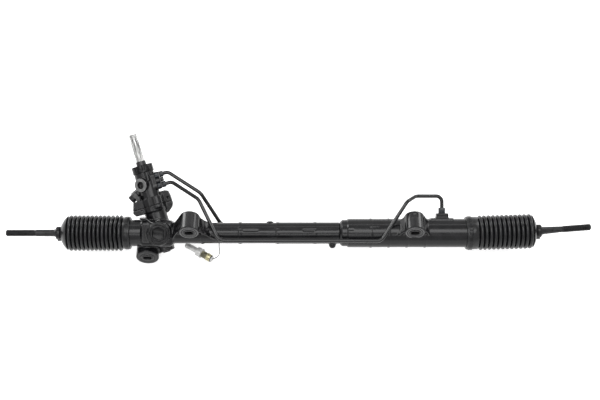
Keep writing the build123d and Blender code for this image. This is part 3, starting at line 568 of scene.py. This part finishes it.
def addGussetCrest(numbers):
    bm = bmesh.new()
    circle = bmesh.ops.create_circle(bm, segments=numbers["sides"],
                                     radius=numbers["radius"] * mm)["verts"]
    first = Vector((*numbers["line"][0], numbers["height"])) * mm
    place = Matrix.Translation(first) @ Matrix.Rotation(math.pi / 2, 4, "Y")
    bmesh.ops.transform(bm, matrix=place, verts=circle)
    edges = list(bm.edges)
    for start, stop in zip(numbers["line"], numbers["line"][1:]):
        grown = bmesh.ops.extrude_edge_only(bm, edges=edges)["geom"]
        moved = [part for part in grown if isinstance(part, bmesh.types.BMVert)]
        edges = [part for part in grown if isinstance(part, bmesh.types.BMEdge)
                 and all(vert in moved for vert in part.verts)]
        step = ((stop[0] - start[0]) * mm, (stop[1] - start[1]) * mm, 0)
        bmesh.ops.translate(bm, vec=step, verts=moved)
    bmesh.ops.holes_fill(bm, edges=[edge for edge in bm.edges if edge.is_boundary], sides=0)
    lean = Matrix.Rotation(math.radians(numbers["lean"]), 4, "X")
    moveMesh(bm, Matrix.Translation(rackAxis) @ lean)
    item = finishMesh(bm, "gussetCrest", "machined_face_and_highlight")
    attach(item, "housing")


addGussetCrest(gussetCrest)
print("gusset crest laid")


# splined input shaft: bright crests and roots, painted dark reflections on the flanks and painted
# shade in the clamp-bolt groove
shaftShade = {"splineStart": 158.0, "groove": (199.9, 205.1), "rootRadius": 8.22, "crestRadius": 8.66}


def paintShaftShade(numbers):
    bm = bmesh.new()
    bm.from_mesh(nodes["input_shaft"].data)
    bmesh.ops.remove_doubles(bm, verts=bm.verts, dist=weldGap)
    inward = pinionFrame.inverted()
    grooveLow, grooveHigh = numbers["groove"]
    root, crest = numbers["rootRadius"], numbers["crestRadius"]
    # flanks and groove take the dark finish: painted dark reflections on the flanks, painted shade
    # in the groove
    for face in bm.faces:
        spot = inward @ face.calc_center_median() / mm
        radius = math.hypot(spot.x, spot.y)
        onFlank = spot.z > numbers["splineStart"] and root < radius < crest
        inGroove = grooveLow < spot.z < grooveHigh and radius < root
        face.material_index = 1 if onFlank or inGroove else 0
    item = finishMesh(bm, "inputShaftShaded", "bright_steel")
    item.data.materials.append(materials["oiled_steel_and_shade"])
    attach(item, bodyOf["input_shaft"])
    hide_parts("input_shaft")


paintShaftShade(shaftShade)
print("input shaft shaded")


# round boss on the valve that the pipe plate's bolt goes into
boltBoss = {"radius": 4.7, "bore": 3.0, "start": 20.5, "end": 29.4, "roll": 0.5, "height": 108.2,
            "out": -8.0}


def addBoltBoss(numbers):
    bm = ringAboutX(numbers["bore"], numbers["radius"], numbers["start"], numbers["end"],
                    numbers["roll"])
    moveMesh(bm, pinionFrame @ Matrix.Translation((0, numbers["out"] * mm, numbers["height"] * mm)))
    item = finishMesh(bm, "boltBoss", "cast_black")
    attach(item, "housing")


addBoltBoss(boltBoss)
print("bolt boss added")


# castings: a softened skin over each machined solid
castings = {
    "pinion_housing": {"voxel": 1.35, "smooth": 5},
    "cylinder_housing": {"voxel": 1.3, "smooth": 5},
    "valve_housing": {"voxel": 0.75, "smooth": 4},
}
softenShare = 0.5     # how far a corner moves to the middle of its neighbours in each round


def addCasting(nodeName, numbers):
    bm = bmesh.new()
    bm.from_mesh(nodes[nodeName].data)
    bmesh.ops.remove_doubles(bm, verts=bm.verts, dist=2 * weldGap)
    item = finishMesh(bm, nodeName.replace("_housing", "Casting"), "cast_black", sharp=180)
    skin = item.modifiers.new("castSkin", "REMESH")
    skin.mode = "VOXEL"
    skin.voxel_size = numbers["voxel"] * mm
    skin.use_smooth_shade = True
    soften = item.modifiers.new("soften", "SMOOTH")
    soften.factor = softenShare
    soften.iterations = numbers["smooth"]
    depsgraph = bpy.context.evaluated_depsgraph_get()
    mesh = bpy.data.meshes.new_from_object(item.evaluated_get(depsgraph))
    item.modifiers.clear()
    item.data = mesh
    dress(item, "cast_black")
    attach(item, "housing")
    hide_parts(nodeName)
    print(nodeName, "skin:", len(mesh.polygons), "faces")


for nodeName, numbers in castings.items():
    addCasting(nodeName, numbers)


# bellows boots, each in three lengths
boots = {
    "left": {"side": -1, "cuff": (355.0, 369.5, 33.5), "ribs": (371.0, 484.0, 13), "radius": 37.6,
             "dip": 6.4,
             "dome": [(486.5, 35.6), (489.5, 33.2), (492.5, 29.8), (495.5, 25.6), (498.2, 20.8),
                      (500.4, 16.2), (501.5, 13.6)],
             "neck": (511.5, 12.5), "wall": 1.6, "neckBore": 9.05, "cuffBore": 28.05,
             "slide": (360.0, 466.6), "sweepEnd": 484.0, "seams": (11, 13),
             "turn": 0.0, "turnAt": 0.0,
             "crumple": {"span": (370.5, 402.0), "depth": 1.5,      # how far along, how deep
                         "folds": 2.3, "drift": 3.0,                # folds round it, and drift
                         "slips": 1.9, "slip": 1.4, "fade": 0.7}},  # ribs pushed along, and fade
    "right": {"side": 1, "cuff": (347.0, 371.0, 34.5), "ribs": (373.0, 486.0, 12), "radius": 36.6,
              "dip": 6.4,
              "dome": [(487.5, 33.8), (489.5, 30.8), (491.5, 27.2), (493.4, 22.8), (495.2, 17.8),
                       (496.6, 14.2), (497.4, 12.9)],
              "neck": (507.0, 12.5), "wall": 1.6, "neckBore": 9.05, "cuffBore": 30.25,
              "slide": (351.0, 457.75), "sweepEnd": 476.58, "seams": (9, 11),
              "turn": 2.1, "turnAt": 360.0},
}

bootForm = {"ribSteps": 10, "ribRound": 0.55,                  # a lower ribRound gives squarer ribs
            "cuffRoll": (0.8, 0.8), "cuffFoot": (0.6, 0.4), "neckStart": 1.2, "neckRoll": 0.6,
            "boreStep": 0.5, "seamSlack": 0.01}


def ribProfile(numbers):
    start, end, count = numbers["ribs"]
    pitch = (end - start) / count
    top, dip = numbers["radius"], numbers["dip"]
    points = []
    for rib in range(count):
        for step in range(bootForm["ribSteps"]):
            share = step / bootForm["ribSteps"]
            fall = 1 - math.sin(math.pi * share) ** bootForm["ribRound"]
            points.append((start + (rib + share) * pitch, top - dip * fall))
    points.append((end, top - dip))
    return points


def bootProfile(numbers):
    cuffStart, cuffEnd, cuffRadius = numbers["cuff"]
    rollLong, rollDeep = bootForm["cuffRoll"]
    footBack, footOn = bootForm["cuffFoot"]
    outer = [(cuffStart, cuffRadius - rollDeep), (cuffStart + rollLong, cuffRadius),
             (cuffEnd - footBack, cuffRadius), (cuffEnd + footOn, cuffRadius - rollDeep)]
    outer += ribProfile(numbers) + numbers["dome"]
    neckStart = numbers["dome"][-1][0] + bootForm["neckStart"]
    neckEnd, neckRadius = numbers["neck"]
    roll = bootForm["neckRoll"]
    outer += [(neckStart, neckRadius), (neckEnd - roll, neckRadius), (neckEnd, neckRadius - roll)]
    return outer


def innerOf(point, numbers):
    x, radius = point
    if x <= numbers["cuff"][1] + bootForm["boreStep"]:
        return (x, numbers["cuffBore"])
    if x >= numbers["dome"][-2][0]:
        return (x, numbers["neckBore"])
    return (x, max(radius - numbers["wall"], numbers["neckBore"]))


def crumple(bm, numbers):
    # the ribs next to the cuff sit askew, where the boot was twisted on
    start, stop = numbers["span"]
    for vert in bm.verts:
        along = (vert.co.x / mm - start) / (stop - start)
        if 0 < along < 1:
            around = Vector((0, vert.co.y, vert.co.z)).normalized()
            fold = noise.noise(around * numbers["folds"] + Vector((along * numbers["drift"], 0, 0)))
            slip = Vector((noise.noise(around * numbers["slips"]) * numbers["slip"], 0, 0))
            fade = math.sin(math.pi * along ** numbers["fade"])
            vert.co += (around * fold + slip) * numbers["depth"] * fade * mm


def addBoot(name, numbers):
    start, end, count = numbers["ribs"]
    pitch = (end - start) / count
    outer = bootProfile(numbers)
    cuts = [-math.inf] + [start + pitch * seam for seam in numbers["seams"]] + [math.inf]
    spans = zip(cuts, cuts[1:])
    seat, rod = name + "_ball_seat", name + "_tie_rod"
    pairs = [("housing", "rack"), ("rack", seat), (seat, rod)]
    stations = [*numbers["slide"], numbers["sweepEnd"], numbers["dome"][-1][0]]
    bends = zip(stations, stations[1:])
    side, slack = numbers["side"], bootForm["seamSlack"]
    turn = Matrix.Rotation(math.radians(numbers["turn"]), 4, "Z")
    pivot = Matrix.Translation((numbers["turnAt"] * mm, 0, 0))
    place = Matrix.Translation(rackAxis) @ pivot @ turn @ pivot.inverted()
    pieces = []
    for part, ((low, high), (bodyA, bodyB), (bendA, bendB)) in enumerate(zip(spans, pairs, bends)):
        points = [point for point in outer if low - slack <= point[0] <= high + slack]
        inner = [innerOf(point, numbers) for point in reversed(points)]
        bm = bmesh.new()
        spinAboutX(bm, points + inner, steps=96, closed=True)
        if "crumple" in numbers:
            crumple(bm, numbers["crumple"])
        if side < 0:
            moveMesh(bm, Matrix.Scale(-1, 4, (1, 0, 0)))
        moveMesh(bm, place)
        item = finishMesh(bm, name + "Boot" + "ABC"[part], "black_rubber", sharp=62)
        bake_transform(item)
        pieces.append(item)
    for item in pieces:
        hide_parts(name + "_boot")
    print(name, "boot spun")


for name, numbers in boots.items():
    addBoot(name, numbers)


# tie rods with rolled threads
tieRods = {
    "left": {"side": -1, "ball": -459.0, "tip": 158.0, "threadStart": 97.0, "shankEnd": 54.0,
             "shank": (7.4, 7.3), "swing": 0.0},
    "right": {"side": 1, "ball": 444.0, "tip": 169.0, "threadStart": 108.0, "shankEnd": 65.0,
              "shank": (8.0, 6.4), "swing": 5.1},
}
rodThread = {"crest": 7.0, "root": 6.15, "pitch": 1.5}
rodForm = {
    "ball": 14.0,
    "neck": [(8, 0), (8, 6.0), (22, 6.0), (24, 6.5), (26.5, 8.2), (28, 9.0)],
    "shoulder": ((-2.5, 9.0), (-1, 8.8)),      # x from shankEnd, and radius
    "fillet": ((1.5, 0.4), (3, 0.0)),          # x from shankEnd, and how far past the shank
    "runIn": (3, 1.5), "tip": (1.5, 1.3), "threadStop": 1.0}


def addTieRod(name, numbers):
    bm = bmesh.new()
    shankEnd, threadStart, tip = numbers["shankEnd"], numbers["threadStart"], numbers["tip"]
    first, last = numbers["shank"]
    root = rodThread["root"]
    tipLong, tipDeep = rodForm["tip"]
    profile = rodForm["neck"] + [(shankEnd + x, radius) for x, radius in rodForm["shoulder"]]
    profile += [(shankEnd + x, first + out) for x, out in rodForm["fillet"]]
    profile += [(threadStart - back, last) for back in rodForm["runIn"]]
    profile += [(threadStart, root), (tip - tipLong, root), (tip, root - tipDeep), (tip, 0)]
    spinAboutX(bm, profile, steps=48)
    bmesh.ops.create_uvsphere(bm, u_segments=48, v_segments=24, radius=rodForm["ball"] * mm)
    threadOn(bm, threadStart, tip - rodForm["threadStop"], root, rodThread["crest"],
             rodThread["pitch"])
    if numbers["side"] < 0:
        moveMesh(bm, Matrix.Scale(-1, 4, (1, 0, 0)))
    swing = Matrix.Rotation(math.radians(numbers["swing"]), 4, "Z")
    moveMesh(bm, Matrix.Translation(rackAxis + Vector((numbers["ball"] * mm, 0, 0))) @ swing)
    item = finishMesh(bm, name + "TieRod", "dark_steel")
    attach(item, name + "_tie_rod")
    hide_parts(name + "_tie_rod")


for name, numbers in tieRods.items():
    addTieRod(name, numbers)
print("tie rods threaded")


# the wire's two turns round the lower pipe
wireWrap = {"centre": (-165.27, -27.62, 17.58), "along": (0.855, -0.464, -0.232), "radius": 4.9,
            "wireRadius": 0.8, "sides": 12, "turns": 2, "turnSteps": 36, "pitch": 1.75}


def addWireWrap(numbers):
    bm = bmesh.new()
    circle = bmesh.ops.create_circle(bm, segments=numbers["sides"],
                                     radius=numbers["wireRadius"] * mm)["verts"]
    out = Matrix.Translation((0, 0, numbers["radius"] * mm))
    bmesh.ops.transform(bm, matrix=out @ Matrix.Rotation(math.pi / 2, 4, "X"), verts=circle)
    edges = list(bm.edges)
    steps = numbers["turnSteps"] * numbers["turns"]
    bmesh.ops.spin(bm, geom=circle + edges, cent=(0, 0, 0), axis=(1, 0, 0),
                   dvec=(numbers["pitch"] * numbers["turns"] / steps * mm, 0, 0),
                   angle=math.tau * numbers["turns"], steps=steps, use_merge=False)
    bmesh.ops.holes_fill(bm, edges=[edge for edge in bm.edges if edge.is_boundary], sides=0)
    along = Vector(numbers["along"]).normalized()
    shift = Matrix.Translation((-numbers["pitch"] * numbers["turns"] / 2 * mm, 0, 0))
    aim = along.to_track_quat("X", "Z").to_matrix().to_4x4()
    moveMesh(bm, Matrix.Translation(onRack(*numbers["centre"])) @ aim @ shift)
    item = finishMesh(bm, "wireWrap", "wire_grey")
    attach(item, "housing")


addWireWrap(wireWrap)
print("wire wrapped round the pipe")


# floor, world and soft studio lamps
studio = {
    "floor": -0.0965, "floorHalf": 6, "floorShade": 0.90, "floorRough": 0.9, "floorGlow": 0.62,
    "world": 0.28,
    "lamps": {"keyLamp": ((0.0, -0.46, 1.62), (2.3, 0.75), 27.0),
              "backLamp": ((0.0, 1.05, 1.30), (2.8, 0.22), 4.5),
              "frontLamp": ((-0.45, -1.40, 1.35), (1.8, 0.30), 7.0),
              "leftLamp": ((-1.75, 1.15, 0.85), (0.6, 0.9), 20.0),
              "rightLamp": ((1.75, 1.15, 0.95), (0.6, 0.9), 14.0)}}
lampAim = {"sideShare": 0.2, "height": -0.03}     # each lamp looks at a spot near the middle


def seenDirectly(tree):
    # 1 on rays from the camera or by way of metal and glass, 0 on the light that falls on the part
    path = tree.nodes.new("ShaderNodeLightPath")
    total = path.outputs["Is Camera Ray"]
    for output in ("Is Glossy Ray", "Is Transmission Ray"):
        add = tree.nodes.new("ShaderNodeMath")
        add.operation = "ADD"
        add.use_clamp = True
        tree.links.new(total, add.inputs[0])
        tree.links.new(path.outputs[output], add.inputs[1])
        total = add.outputs["Value"]
    return total


def addLamp(name, place, size, power):
    data = bpy.data.lights.new(name, "AREA")
    data.shape = "RECTANGLE"
    data.size, data.size_y = size
    data.energy = power
    item = bpy.data.objects.new(name, data)
    bpy.context.scene.collection.objects.link(item)
    item.location = place
    item.visible_camera = False
    aim = Vector((place[0] * lampAim["sideShare"], 0, lampAim["height"])) - Vector(place)
    item.rotation_euler = aim.to_track_quat("-Z", "Y").to_euler()


def addStudio(numbers):
    bm = bmesh.new()
    bmesh.ops.create_grid(bm, x_segments=2, y_segments=2, size=numbers["floorHalf"])
    moveMesh(bm, Matrix.Translation((0, 0, numbers["floor"])))
    mesh = bpy.data.meshes.new("floor")
    bm.to_mesh(mesh)
    bm.free()
    item = bpy.data.objects.new("floor", mesh)
    bpy.context.scene.collection.objects.link(item)
    material = bpy.data.materials.new("paleFloor")
    material.use_nodes = True
    tree = material.node_tree
    shader = tree.nodes["Principled BSDF"]
    shade = numbers["floorShade"]
    shader.inputs["Base Color"].default_value = (shade, shade, shade, 1)
    shader.inputs["Roughness"].default_value = numbers["floorRough"]
    shader.inputs["Emission Color"].default_value = (1, 1, 1, 1)
    glow = tree.nodes.new("ShaderNodeMath")
    glow.operation = "MULTIPLY"
    glow.inputs[1].default_value = numbers["floorGlow"]
    tree.links.new(seenDirectly(tree), glow.inputs[0])
    tree.links.new(glow.outputs["Value"], shader.inputs["Emission Strength"])
    mesh.materials.append(material)

    world = bpy.data.worlds.new("studioWorld")
    world.use_nodes = True
    tree = world.node_tree
    background = tree.nodes["Background"]
    background.inputs["Color"].default_value = (1, 1, 1, 1)
    level = tree.nodes.new("ShaderNodeMapRange")
    level.inputs["To Min"].default_value = numbers["world"]
    level.inputs["To Max"].default_value = 1.0
    tree.links.new(seenDirectly(tree), level.inputs["Value"])
    tree.links.new(level.outputs["Result"], background.inputs["Strength"])
    bpy.context.scene.world = world

    for name, (place, size, power) in numbers["lamps"].items():
        addLamp(name, place, size, power)


addStudio(studio)
bpy.context.scene.view_settings.view_transform = "Standard"
print("studio set")
